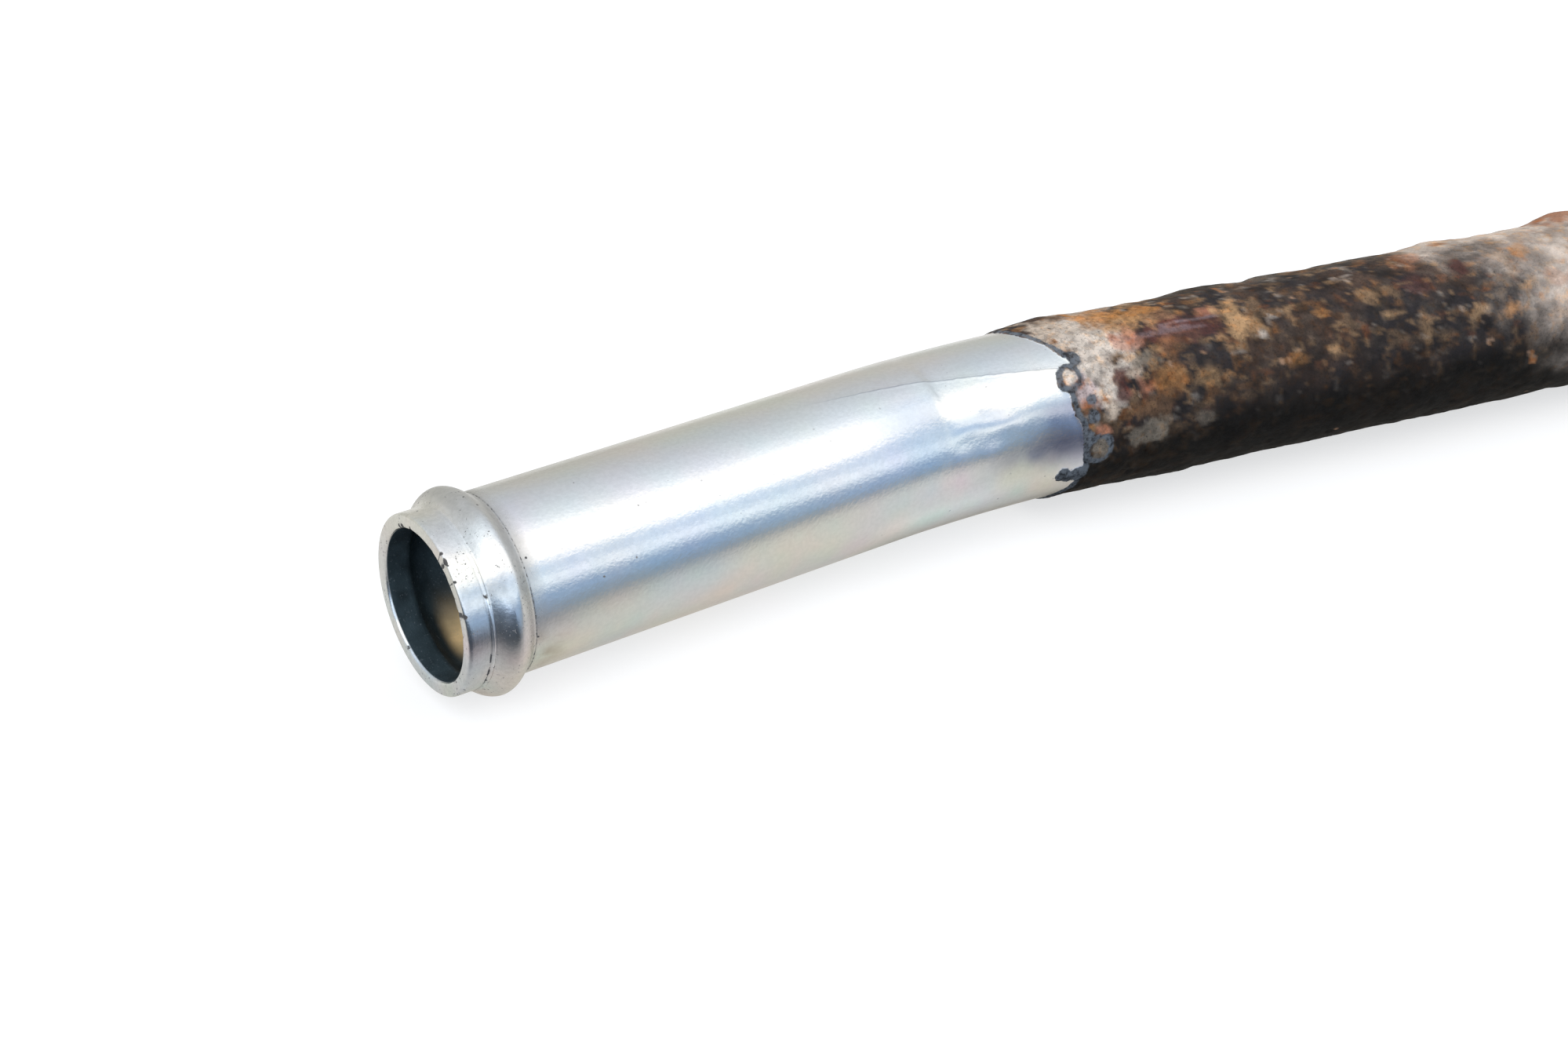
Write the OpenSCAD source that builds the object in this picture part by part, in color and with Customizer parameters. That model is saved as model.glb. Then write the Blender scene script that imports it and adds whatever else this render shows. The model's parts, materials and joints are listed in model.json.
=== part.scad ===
// Steel hose pipe with a rolled bead at one end, a shallow bend and a corroded run.
// The pipe lies along +X from its mouth, bends towards -Y in the horizontal plane,
// and ends in a plain square cut. Origin: centre of the mouth. Units: millimetres.

/* [Tube] */
// Outside diameter of the bare tube
tube_od = 20; // [14:0.5:28]
// Thickness of the tube's wall
tube_wall = 1.7; // [1.2:0.1:2.4]
// Length along the centreline, from the mouth to the square cut
pipe_length = 300; // [200:10:600]

/* [Hose end] */
// How much the nose in front of the bead is smaller than the tube, in diameter
nose_relief = 0.2; // [0:0.05:0.6]
// Radius that rounds the nose's outer edge
mouth_edge = 0.4; // [0.1:0.05:0.6]
// Height of the bead above the tube
bead_height = 1.35; // [0.5:0.05:2]
// Distance from the mouth to the bead's crest
bead_offset = 5.2; // [4.4:0.1:12]
// Length of the bead's front flank, from its foot to the crest
bead_front = 2.3; // [1.4:0.1:3]
// Length of the bead's rear flank, from the crest to its foot
bead_rear = 2.45; // [1.4:0.05:4]
// Height of the narrow ridge at the bead's front foot
ridge_height = 0.2; // [0.05:0.01:0.4]
// Width of that ridge along the pipe
ridge_width = 0.4; // [0.2:0.05:0.6]

/* [Bend] */
// Straight length from the mouth to the start of the bend
straight_length = 56; // [30:1:100]
// Radius of the bend, at the centreline
bend_radius = 156; // [80:2:300]
// Angle of the bend
bend_angle = 11.5; // [8:0.5:40]

/* [Corrosion] */
// How far before the end of the bend the rust scale starts
scale_lead = 8.3; // [2:0.1:67]
// Thickness of the scale on the outside of the tube, where it starts
scale_near = 0.3; // [0.2:0.05:0.8]
// Thickness of the scale at the square cut
scale_far = 0.55; // [0.2:0.05:1]
// Height of the scale's long swells above and below that
swell_height = 0.1; // [0:0.01:0.12]
// Length of one swell along the pipe
swell_length = 27; // [12:1:60]
// How far rust has widened the bore beyond the bend, in radius
bore_loss = 0.1; // [0.05:0.01:0.3]

/* [Hidden] */
$fn = 96;

tube_r = tube_od / 2;
bore_r = tube_r - tube_wall;
rusted_bore_r = bore_r + bore_loss;
nose_r = tube_r - nose_relief / 2;

// Stations along the centreline, measured from the mouth
bead_foot_front = bead_offset - bead_front;
bead_foot_rear = bead_offset + bead_rear;
bend_stop = straight_length + bend_radius * bend_angle * PI / 180;
scale_start = bend_stop - scale_lead;

// Rust scale: rings along the run, and sides around it
scale_rings = 64;
scale_sides = 36;
// Blisters in the scale: distance from the mouth, angle about the centreline
// (0 is the pipe's +Y side, 90 its top), radius and height
blisters = [
    [83, 60, 5, 0.3],
    [97, 262, 8, 0.4],
    [104, 56, 6, 0.4],
    [115, 48, 5, 0.35],
    [128, 205, 6, 0.35],
    [138, 60, 6, 0.5],
    [155, 58, 8, 1.1],
    [171, 150, 7, 0.5],
    [188, 250, 6, 0.3],
    [203, 40, 8, 0.6],
    [226, 130, 7, 0.6],
    [241, 330, 8, 0.5],
    [262, 75, 9, 0.8],
    [284, 185, 7, 0.5],
];
// Steps that each flank of the bead is drawn in
flank_steps = 10;
// How sharply the flanks fall: 1 is a parabola, more draws the foot out
front_fall = 1.1;
rear_fall = 1.5;
// How far one bore runs into the next, and past the open ends
reach = 1;

// How far the pipe has turned at a station, in degrees
function turned(s) =
    min(bend_angle, max(0, s - straight_length) / bend_radius * 180 / PI);
// Point of the centreline at a station
function centre(s) =
    let (a = turned(s), past = max(0, s - bend_stop)) [
        min(s, straight_length) + bend_radius * sin(a) + past * cos(a),
        -bend_radius * (1 - cos(a)) - past * sin(a),
        0
    ];
// Point at a radius and an angle about the centreline
function around(s, q, r) = centre(s)
    + r * [cos(q) * sin(turned(s)), cos(q) * cos(turned(s)), sin(q)];

// Points [radius, station] of one flank of the bead, from one station to another
function flank(from, to, base, width, fall) = [
    for (i = [0:flank_steps])
        let (
            s = from + (to - from) * i / flank_steps,
            share = (s - bead_offset) / width
        )
        [base + (crest_r(base) - base) * pow(1 - share * share, fall), s]
];
// Radius of the crest that belongs to a base radius: outside, or in the groove
function crest_r(base) = (base < nose_r ? bore_r : tube_r) + bead_height;

// Smallest turn between two angles
function turn_between(a, b) = abs((a - b + 540) % 360 - 180);
// Height of one blister at a station and an angle: a round bump with a soft foot
function blister(b, s, q) =
    let (d = norm([s - b[0], tube_r * turn_between(q, b[1]) * PI / 180]))
    d >= b[2] ? 0 : b[3] * (1 + cos(180 * d / b[2])) / 2;
// Thickness of the scale at a station, without swells and blisters
function scale_at(s) = scale_near
    + (scale_far - scale_near) * (s - scale_start) / (pipe_length - scale_start);
// Radius over the scale at a station and an angle
function scale_r(s, q) = tube_r + scale_at(s)
    + swell_height * sin(360 * s / swell_length + q) * cos(2 * q + 3 * s)
    + max([for (b = blisters) blister(b, s, q)]);

// Half of the hose end's section, each point [radius, station]
module hose_end_outline() {
    rounded_edge = [
        for (a = [90:-15:0])
            [nose_r - mouth_edge * (1 - cos(a)), mouth_edge * (1 - sin(a))]
    ];
    ridge = [
        [nose_r, bead_foot_front - ridge_width],
        [nose_r + ridge_height, bead_foot_front - ridge_width / 2],
        [nose_r + ridge_height, bead_foot_front - ridge_width / 4],
    ];
    front = flank(bead_foot_front, bead_offset, nose_r, bead_front, front_fall);
    rear = flank(bead_offset, bead_foot_rear, tube_r, bead_rear, rear_fall);
    polygon(concat(
        [[0, 0]],
        rounded_edge,
        ridge,
        [for (i = [0:flank_steps - 1]) front[i]],
        rear,
        [[tube_r, straight_length], [0, straight_length]]
    ));
}

// Half of the hose end's bore, with the groove that the bead leaves inside
module bore_outline() {
    front = flank(bead_foot_front, bead_offset, bore_r, bead_front, front_fall);
    rear = flank(bead_offset, bead_foot_rear, bore_r, bead_rear, rear_fall);
    polygon(concat(
        [[0, -reach], [bore_r, -reach]],
        [for (i = [0:flank_steps - 1]) front[i]],
        rear,
        [[bore_r, straight_length], [0, straight_length]]
    ));
}

// Turns an outline about the pipe's first straight
module turned_along_x() {
    rotate([0, 90, 0]) rotate_extrude() children();
}

// A round rod of radius r through the bend
module bend_rod(r) {
    translate([straight_length, -bend_radius, 0])
        rotate_extrude(angle = bend_angle, start = 90 - bend_angle)
            translate([bend_radius, 0]) circle(r = r);
}

// The plated outside, up to where the scale covers it
module plated_outside() {
    turned_along_x() hose_end_outline();
    bend_rod(tube_r);
}

// The lumpy outside of the corroded run: rings of points joined into one skin
module corroded_outside() {
    points = [
        for (i = [0:scale_rings], j = [0:scale_sides - 1])
            let (
                s = scale_start + (pipe_length - scale_start) * i / scale_rings,
                q = j * 360 / scale_sides
            )
            around(s, q, scale_r(s, q))
    ];
    last = scale_rings * scale_sides;
    skin = [
        for (i = [0:scale_rings - 1], j = [0:scale_sides - 1])
            let (
                near = i * scale_sides,
                far = near + scale_sides,
                next = (j + 1) % scale_sides
            )
            each [
                [near + j, far + j, near + next],
                [near + next, far + j, far + next]
            ]
    ];
    near_cap = [for (j = [0:scale_sides - 1]) j];
    cut_cap = [for (j = [scale_sides - 1:-1:0]) last + j];
    polyhedron(points = points, faces = concat(skin, [near_cap, cut_cap]));
}

// The bore: the straight with its groove, the bend, and the rusted run
module bore() {
    turned_along_x() bore_outline();
    bend_rod(bore_r);
    translate(centre(bend_stop - reach))
        rotate([0, 90, -bend_angle])
            cylinder(r = rusted_bore_r, h = pipe_length - bend_stop + 2 * reach);
}

module pipe() {
    difference() {
        union() {
            color("silver") plated_outside();
            color("saddlebrown") corroded_outside();
        }
        color("dimgray") bore();
    }
}

pipe();
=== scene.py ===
"""Looks of a corroded steel hose pipe: bright zinc on the beaded hose end, rust scale on the rest.

The whole pipe is one closed skin. A half section (outside, cut end, bore, mouth) is a row of points, each
with a station along the centreline and a radius. The section is turned about the centreline, and the radius
is changed by the relief of the zinc, of the rust scale and of the bore. Lengths are in millimetres until the
mesh is written. In the functions, s is a station, q an angle about the centreline and r a radius. Angles are
in degrees from the pipe's +Y side, so 90 is its top and 180 its -Y side.
"""
import json
import math

import bpy
import numpy as np
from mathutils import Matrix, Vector


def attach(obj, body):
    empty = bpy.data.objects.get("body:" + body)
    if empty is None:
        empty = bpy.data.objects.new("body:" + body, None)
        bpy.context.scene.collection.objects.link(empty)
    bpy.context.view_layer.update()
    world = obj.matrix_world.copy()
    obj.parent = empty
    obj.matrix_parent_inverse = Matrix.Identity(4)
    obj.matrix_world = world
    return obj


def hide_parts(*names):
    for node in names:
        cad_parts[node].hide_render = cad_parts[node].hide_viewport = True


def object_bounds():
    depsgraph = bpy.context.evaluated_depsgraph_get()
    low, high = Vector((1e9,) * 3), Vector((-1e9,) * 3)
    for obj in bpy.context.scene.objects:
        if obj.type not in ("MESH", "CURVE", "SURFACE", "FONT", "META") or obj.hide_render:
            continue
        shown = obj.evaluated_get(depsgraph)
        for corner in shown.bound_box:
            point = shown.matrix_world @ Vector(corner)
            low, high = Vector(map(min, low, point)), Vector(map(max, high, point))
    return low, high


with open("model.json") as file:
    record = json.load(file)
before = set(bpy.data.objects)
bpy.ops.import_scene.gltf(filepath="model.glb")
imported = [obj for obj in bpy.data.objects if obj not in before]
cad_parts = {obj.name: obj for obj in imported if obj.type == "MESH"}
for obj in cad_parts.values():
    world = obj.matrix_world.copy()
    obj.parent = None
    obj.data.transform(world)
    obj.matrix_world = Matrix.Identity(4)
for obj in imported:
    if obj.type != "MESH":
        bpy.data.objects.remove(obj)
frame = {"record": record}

CAD_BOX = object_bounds()
MM = 0.001

# ---- sizes that come with the frame

MOUNTS = {mount["name"]: mount for mount in frame["record"]["mounts"]}
BORE_R = MOUNTS["mouth"]["dims"]["r_mm"]
STRAIGHT = MOUNTS["mouth"]["dims"]["length_mm"]
NOSE_R = MOUNTS["nose"]["dims"]["r_mm"]
TUBE_R = MOUNTS["hose_seat"]["dims"]["r_mm"]
CUT_BORE_R = MOUNTS["cut_end"]["dims"]["r_mm"]
CUT_AXIS = MOUNTS["cut_end"]["axis"]
CUT_X, CUT_Y = (v / MM for v in MOUNTS["cut_end"]["pos_m"][:2])
BEND = math.atan2(-CUT_AXIS[1], CUT_AXIS[0])
# The cut end lies past the bend: two equations give the bend's radius and the second straight's length.
BEND_R, SECOND = np.linalg.solve(
    [[math.sin(BEND), math.cos(BEND)], [1 - math.cos(BEND), math.sin(BEND)]],
    [CUT_X - STRAIGHT, -CUT_Y],
)
BEND_STOP = STRAIGHT + BEND_R * BEND
LENGTH = BEND_STOP + SECOND

# ---- sizes of the hose end, which the frame doesn't give

# The bead: its crest's station, its height, the lengths of its flanks and how sharply they fall
BEAD_AT, BEAD_HEIGHT = 5.2, 1.35
BEAD_FRONT, BEAD_REAR = 2.3, 2.45
FRONT_FALL, REAR_FALL = 1.1, 1.5
FRONT_FOOT, REAR_FOOT = BEAD_AT - BEAD_FRONT, BEAD_AT + BEAD_REAR
# The narrow ridge at the bead's front foot, and the share of it that is worn away on top
RIDGE_AT, RIDGE_HEIGHT, RIDGE_WIDTH, RIDGE_WEAR = FRONT_FOOT - 0.1, 0.2, 0.4, 0.7
# Radii that round the mouth's outer and inner edges
MOUTH_EDGE, INNER_EDGE = 0.4, 0.38
# The line along the outside that lies furthest up and back: dirt and dust thin out with the turn from it
FAR_TOP = 60

# ---- the rust scale

SCALE_NEAR, SCALE_FAR, SCALE_START = 0.3, 0.55, 79.0
SWELL_HEIGHT, SWELL_LENGTH = 0.1, 27.0
# station, angle, radius, height
BLISTERS = [
    (83, 60, 5, 0.3), (97, 262, 8, 0.4), (104, 56, 6, 0.4), (115, 48, 5, 0.35), (128, 205, 6, 0.35),
    (138, 60, 6, 0.5), (158, 58, 6.5, 1.1), (171, 150, 7, 0.5), (188, 250, 6, 0.3), (203, 40, 8, 0.6),
    (226, 130, 7, 0.6), (241, 330, 8, 0.5), (262, 75, 9, 0.8), (284, 185, 7, 0.5),
]
# Where the zinc ends, as angle and station, going once round the pipe
ZINC_EDGE = [
    (0, 76.5), (25, 75), (50, 76.2), (70, 76.4), (87, 77.3), (99, 78.7), (113, 80.4), (122, 81),
    (145, 79.6), (157, 79.9), (170, 80.6), (185, 80.7), (195, 80.8), (212, 80.5), (235, 78.5), (262, 77.5),
    (290, 79.5), (315, 80.5), (340, 78.5), (360, 76.5),
]
# Round blisters that break out of the zinc at that edge: station, angle, radius
EDGE_RINGS = [
    (80.2, 133, 1.75), (82.9, 184, 1.9), (78.4, 201, 1), (79.5, 204, 1), (80.6, 203, 1.1),
    (77.2, 305, 1.2), (76, 20, 1.3),
]
# Dark clots on the edge: station, angle, radius
EDGE_CLOTS = [
    (81.4, 121, 0.9), (82.2, 161, 0.6), (81.2, 174, 0.6), (78.6, 201, 1.2), (80, 205, 1.2),
    (80.8, 197, 0.8), (80.2, 262, 0.8), (76.6, 52, 0.7), (82.3, 150, 0.45),
]


# ---- small mathematics

def smooth(low, high, x):
    """0 below low, 1 above high, and 3t^2 - 2t^3 between."""
    t = np.clip((x - low) / (high - low), 0, 1)
    return t * t * (3 - 2 * t)


def window(x, start, full, fading, stop):
    """0 up to the start, 1 from full to fading, 0 past the stop, and smooth between."""
    return smooth(start, full, x) * smooth(stop, fading, x)


def bell(x, middle, width):
    """1 in the middle, and exp(-t^2) at a distance of t widths from it."""
    return np.exp(-((x - middle) / width) ** 2)


def linear(r, g, b):
    """A colour of 0 to 255 display steps as linear light: ((c + 0.055) / 1.055) ^ 2.4 above the toe."""
    c = np.array([r, g, b], float) / 255
    return np.where(c <= 0.04045, c / 12.92, ((c + 0.055) / 1.055) ** 2.4)


def lattice(i, j, k, seed):
    """A repeatable number from 0 to 1 for each cell of a cubic lattice, by integer mixing."""
    h = (i * 374761393 + j * 668265263 + k * 2147483629 + seed * 1274126177) & 0xFFFFFFFF
    h = ((h ^ (h >> 13)) * 1274126177) & 0xFFFFFFFF
    h = ((h ^ (h >> 15)) * 2246822519) & 0xFFFFFFFF
    return ((h ^ (h >> 16)) & 0xFFFF) / 65535.0


def clouds(p, size, seed):
    """Smooth noise from -1 to 1 with lumps of that size: corner values of a lattice, blended by 3t^2 - 2t^3,
    t being the place in the cell."""
    g = p / size + 1000.0
    cell = np.floor(g).astype(np.int64)
    t = g - cell
    t = t * t * (3 - 2 * t)
    total = 0.0
    for corner in np.ndindex(2, 2, 2):
        weight = np.prod(np.where(corner, t, 1 - t), -1)
        total = total + weight * lattice(*np.moveaxis(cell + corner, -1, 0), seed)
    return 2 * total - 1


def broken_clouds(p, size, seed, octaves=3):
    """Clouds with finer clouds on them: each octave is half the size and half the height."""
    return sum(clouds(p, size / 2 ** n, seed + n) / 2 ** n for n in range(octaves)) / 1.75


def blotches(p, size, seed, low, high, octaves=4):
    """Share of blotches: 0 where the broken clouds are below low, 1 where they are above high."""
    return smooth(low, high, broken_clouds(p, size, seed, octaves))


def nearest_grain(p, size, seed):
    """Distance to the nearest of one random point per lattice cell, in cells, and that point's own number."""
    g = p / size + 1000.0
    cell = np.floor(g).astype(np.int64)
    best = np.full(g.shape[:-1], 9.0)
    who = np.zeros(g.shape[:-1])
    for step in np.ndindex(3, 3, 3):
        near = np.moveaxis(cell + step - 1, -1, 0)
        point = np.stack([c + lattice(*near, seed + n) for n, c in enumerate(near)], -1)
        away = np.linalg.norm(g - point, axis=-1)
        closer = away < best
        best = np.where(closer, away, best)
        who = np.where(closer, lattice(*near, seed + 3), who)
    return best, who


def turn_between(a, b):
    """Smallest turn between two angles, in degrees."""
    return np.abs((a - b + 540) % 360 - 180)


def angle_bell(q, angle, width):
    """1 at the angle, and exp(-t^2) at a turn of t widths from it."""
    return bell(turn_between(q, angle), 0, width)


def round_distance(q, angle):
    """Distance round the tube's skin, in millimetres, from an angle."""
    return TUBE_R * np.radians(turn_between(q, angle))


def surface_distance(s, q, station, angle):
    """Distance over the tube's skin, in millimetres, from a station and an angle."""
    return np.hypot(s - station, round_distance(q, angle))


# ---- the pipe's line and section

def turned(s):
    """How far the pipe has turned at station s, in radians: none, then evenly over the bend."""
    return np.clip((s - STRAIGHT) / BEND_R, 0, BEND)


def centre(s):
    """Point of the centreline: a straight, an arc of radius BEND_R towards -Y, and a second straight."""
    a = turned(s)
    past = np.maximum(0, s - BEND_STOP)
    x = np.minimum(s, STRAIGHT) + BEND_R * np.sin(a) + past * np.cos(a)
    y = -BEND_R * (1 - np.cos(a)) - past * np.sin(a)
    return np.stack([x, y, np.zeros_like(x)], -1)


def skin_point(s, q, r):
    """Centreline point plus r times the unit vector at angle q across the pipe."""
    a, q = turned(s), np.radians(q)
    across = np.stack([np.cos(q) * np.sin(a), np.cos(q) * np.cos(a), np.sin(q) + 0 * a], -1)
    return centre(s) + r[..., None] * across


def straight_point(s, q, r=TUBE_R):
    """The same place on the pipe before it was bent, where patterns are laid out."""
    q = np.radians(q)
    return np.stack([s + 0 * q, r * np.cos(q) + 0 * s, r * np.sin(q) + 0 * s], -1)


def drawn(p, share):
    """The same place with its station cut to a share, which draws a pattern out along the pipe."""
    return p * [share, 1, 1]


def cut_point(s, q, r):
    """Where the cut end's patterns are laid out: the unit pipe times the radius, so each ring has its own."""
    return straight_point(s, q, 1.0) * r[..., None]


def bead_share(s):
    """Share of the bead's height: (1 - u^2) ^ fall on each flank, u being the distance from the crest."""
    front = np.clip((BEAD_AT - s) / BEAD_FRONT, 0, 1)
    rear = np.clip((s - BEAD_AT) / BEAD_REAR, 0, 1)
    return np.where(s < BEAD_AT, (1 - front ** 2) ** FRONT_FALL, (1 - rear ** 2) ** REAR_FALL)


def hose_end_radius(s, q):
    """Nose, ridge, bead and tube: the bead's share times its height, over the nose before the crest and the
    tube behind it. The ridge is a flat-topped bell, nearly worn away on top."""
    base = np.where(s < BEAD_AT, NOSE_R, TUBE_R)
    ridge = RIDGE_HEIGHT * np.exp(-((s - RIDGE_AT) / (0.4 * RIDGE_WIDTH)) ** 4)
    ridge = ridge * (1 - RIDGE_WEAR * smooth(50, 28, turn_between(q, 88)))
    return base + (TUBE_R + BEAD_HEIGHT - base) * bead_share(s) + ridge


def bore_radius(s):
    """The bore: as wide as its mount says, with the bead's groove, and wider where rust has eaten it."""
    eaten = (CUT_BORE_R - BORE_R) * smooth(BEND_STOP - 4, BEND_STOP, s)
    return BORE_R + BEAD_HEIGHT * bead_share(s) + eaten


# ---- where the zinc ends

def zinc_edge_distance(s, q):
    """Signed distance to the zinc's edge, positive on the rust: station less the edge's station, joined with
    the round blisters, with a ragged waver."""
    p = straight_point(s, q)
    angles, stations = np.array(ZINC_EDGE, float).T
    edge = s - np.interp(q % 360, angles, stations) + 0.35 * clouds(p, 2.2, 11) + 0.15 * clouds(p, 0.9, 12)
    for station, angle, radius in EDGE_RINGS:
        edge = np.maximum(edge, radius - surface_distance(s, q, station, angle) + 0.25 * clouds(p, 1.3, 13))
    return edge


def rim_distance(s, q, edge):
    """Distance to the dark line that follows the zinc's edge, thinner on top, and rings the blisters. It is
    negative in the clots."""
    p = straight_point(s, q)
    rim = np.abs(edge - 0.36) + 0.06 - 0.16 * clouds(p, 2.2, 15) - 0.08 * clouds(p, 0.8, 16)
    rim = rim + 0.16 * smooth(60, 30, turn_between(q, FAR_TOP))
    for station, angle, radius in EDGE_RINGS:
        away = surface_distance(s, q, station, angle) - 0.25 * clouds(p, 1.3, 13)
        rim = np.minimum(rim, np.abs(away - radius + 0.3) + 0.1 - 0.14 * clouds(p, 1.1, 17))
    for station, angle, radius in EDGE_CLOTS:
        away = surface_distance(s, q, station, angle) + 0.2 * clouds(p, 0.8, 14)
        rim = np.minimum(rim, away - radius + 0.2)
    return rim


# ---- relief

# Shallow dents of the bending tool in the zinc: station, angle, half length, half width, and depth, which is
# less than 0 where the skin is raised
BEND_DENTS = [
    (65, 148, 1.6, 1.1, -0.14), (70.2, 152, 1.5, 1.1, -0.2), (67.6, 143, 1.3, 0.9, 0.1),
    (76.4, 172, 5, 2.9, 0.35), (62.9, 145, 1.3, 1, 0.06), (67.8, 161, 1.5, 0.9, 0.09),
    (73.6, 149, 1.5, 1.1, -0.06), (78, 190, 2, 2, 0.03), (63.6, 158, 1.2, 0.8, 0.07),
    (61, 178, 2, 2.5, 0.03), (72.8, 164, 1.2, 0.9, 0.05),
]
# The die's edge leaves a soft step: the skin swells up to it over a long stretch and drops behind it. The
# swell is wide above its middle angle and narrow below it.
DIE_START, DIE_EDGE, DIE_DROP, DIE_SWELL = 44, 61.6, 1.7, 0.36
DIE_ANGLE, DIE_ABOVE, DIE_BELOW = 124, 7.0, 2.8
# The fold over the bend's top: where it starts, the angle there, its degrees per millimetre, where it has its
# full height, that height, and how far it reaches to each side
FOLD_START, FOLD_ANGLE, FOLD_SLANT = 45.5, 96, 0.86
FOLD_FULL, FOLD_HEIGHT, FOLD_REACH = 68, 0.07, 1.5


def fold_distance(s, q):
    """Signed distance round the skin to the fold's crest, in millimetres."""
    return (q - FOLD_ANGLE - (s - FOLD_START) * FOLD_SLANT) * np.radians(1) * TUBE_R


def zinc_relief(s, q):
    """Height of the plated skin over the true tube: long drawing waves, bell-shaped dents of the bend, the
    step at the die's edge, and a low fold, sharp at its crest, that runs aslant over the bend's top."""
    p = straight_point(s, q)
    height = 0.006 * clouds(drawn(p, 0.2), 4.0, 21) * smooth(9, 14, s)
    bent = smooth(56, 63, s)
    height = height + bent * (0.012 * clouds(drawn(p, 0.7), 3.0, 22) + 0.006 * clouds(p, 1.3, 23))
    for station, angle, length, width, depth in BEND_DENTS:
        height = height - depth * bell(s, station, length) * bell(round_distance(q, angle), 0, width)
    swell = bell(round_distance(q, DIE_ANGLE), 0, np.where(q < DIE_ANGLE, DIE_ABOVE, DIE_BELOW))
    step = window(s, DIE_START, DIE_EDGE - 0.2, DIE_EDGE, DIE_EDGE + DIE_DROP)
    fold = np.exp(-np.abs(fold_distance(s, q)) / FOLD_REACH) * smooth(FOLD_START, FOLD_FULL, s)
    return height + DIE_SWELL * swell * step + FOLD_HEIGHT * fold


def scale_grain(s, q):
    """Lumps, chips and pits of the scale: three sizes of clouds, flat chips each at a height of its own, and
    round pits under some grains."""
    p = straight_point(s, q)
    lumps = 0.1 * clouds(p, 3.6, 31) + 0.07 * clouds(p, 1.6, 32) + 0.045 * clouds(p, 0.8, 33)
    away, who = nearest_grain(drawn(p, 0.8), 2.4, 41)
    chips = 0.08 * (who - 0.5) * smooth(0.75, 0.5, away)
    away, who = nearest_grain(p, 1.6, 45)
    pits = -0.16 * (who > 0.75) * smooth(0.45, 0.1, away)
    return lumps + chips + pits


def scale_relief(s, q, edge):
    """Height of the rust scale over the true tube: its thickness, swells and blisters, and its grain, all
    growing from nothing at the zinc's edge, where the scale has a raised lip."""
    thick = SCALE_NEAR + (SCALE_FAR - SCALE_NEAR) * (s - SCALE_START) / (LENGTH - SCALE_START)
    swell = np.sin(2 * np.pi * s / SWELL_LENGTH + np.radians(q)) * np.cos(np.radians(2 * q + 3 * s))
    blister = np.zeros_like(s + q)
    for station, angle, radius, height in BLISTERS:
        u = np.minimum(surface_distance(s, q, station, angle) / radius, 1)
        blister = np.maximum(blister, height * (1 + np.cos(np.pi * u)) / 2)
    grown = smooth(-0.1, 1.6, edge)
    lip = 0.12 * bell(edge, 0.5, 0.4)
    return grown * (thick + SWELL_HEIGHT * swell + blister + scale_grain(s, q)) + lip


def outside_radius(s, q):
    """Radius of the finished outside: the hose end's, with the zinc's relief up to its edge and the scale's
    past it."""
    edge = zinc_edge_distance(s, q)
    plated = zinc_relief(s, q) * smooth(0.3, -0.3, edge)
    return hose_end_radius(s, q) + plated + scale_relief(s, q, edge)


# Nicks in the mouth's inner edge: angle, half width in degrees, depth
MOUTH_NICKS = [
    (62, 2.2, 0.11), (67.5, 1.7, 0.12), (79, 1.8, 0.1), (110, 2.4, 0.03), (131, 2.6, 0.04),
    (148, 2.2, 0.04), (158, 1.6, 0.06), (176, 1.8, 0.05), (228, 2.4, 0.05), (262, 2.2, 0.08),
    (301, 2.6, 0.1), (322, 2, 0.06),
]


def nick_depth(q):
    """How deep the mouth's inner edge is chipped at each angle: a bell for each nick."""
    return sum(depth * angle_bell(q, angle, width) for angle, width, depth in MOUTH_NICKS)


def inside_radius(s, q):
    """Radius of the finished bore: smooth at the hose end, pitted and crusted further in."""
    p = straight_point(s, q, BORE_R)
    crusted = smooth(40, 110, s)
    rough = 0.1 * clouds(p, 3.0, 51) + 0.05 * clouds(p, 1.2, 52)
    return bore_radius(s) + 0.004 * clouds(p, 1.0, 53) - crusted * rough


# ---- the skin as one mesh

SIDES = 168
# Stretches of the outside and of the bore, as from, to and step; the last of each ends at the cut
OUTSIDE_STRETCHES = [
    (MOUTH_EDGE, 2.2, 0.3), (2.2, 3.4, 0.08), (3.4, 7.4, 0.13), (7.4, 8.2, 0.08), (8.2, 56, 1.2),
    (56, 73, 0.55), (73, 93, 0.22), (93, 160, 0.52), (160, None, 1.05),
]
BORE_STRETCHES = [
    (INNER_EDGE, 2.9, 0.45), (2.9, 7.7, 0.3), (7.7, 60, 5), (60, 280, 8), (280, None, 1.2),
]
# Parts of the section, in the order of its rows
OUTSIDE, CUT, BORE, MOUTH = range(4)
# The cut end: rings between its edges, height of its chips, and how far its edges are worn back
CUT_RINGS, CUT_CHIPS, CUT_WEAR = 5, 0.12, 0.25
# How far the mouth's face wavers
MOUTH_WAVER = 0.02


def stations(stretches):
    """Stations of every stretch in turn, evenly spaced in each, ending at the cut."""
    rows = []
    for start, stop, step in stretches:
        stop = LENGTH if stop is None else stop
        count = max(1, round((stop - start) / step))
        rows.append(np.linspace(start, stop, count, endpoint=False))
    return np.append(np.concatenate(rows), LENGTH)


def cut_rows(q, outer, inner):
    """Rings over the cut end from its outer to its inner edge: the face is chipped by clouds, and worn back
    by the fourth power of the distance from its middle."""
    rows = []
    for n in range(1, CUT_RINGS + 1):
        share = n / (CUT_RINGS + 1)
        r = outer + (inner - outer) * share
        chipped = CUT_CHIPS * clouds(cut_point(LENGTH + 0 * q, q, r), 1.1, 61)
        rows.append((LENGTH + chipped - CUT_WEAR * np.abs(2 * share - 1) ** 4, r, CUT))
    return rows


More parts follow.
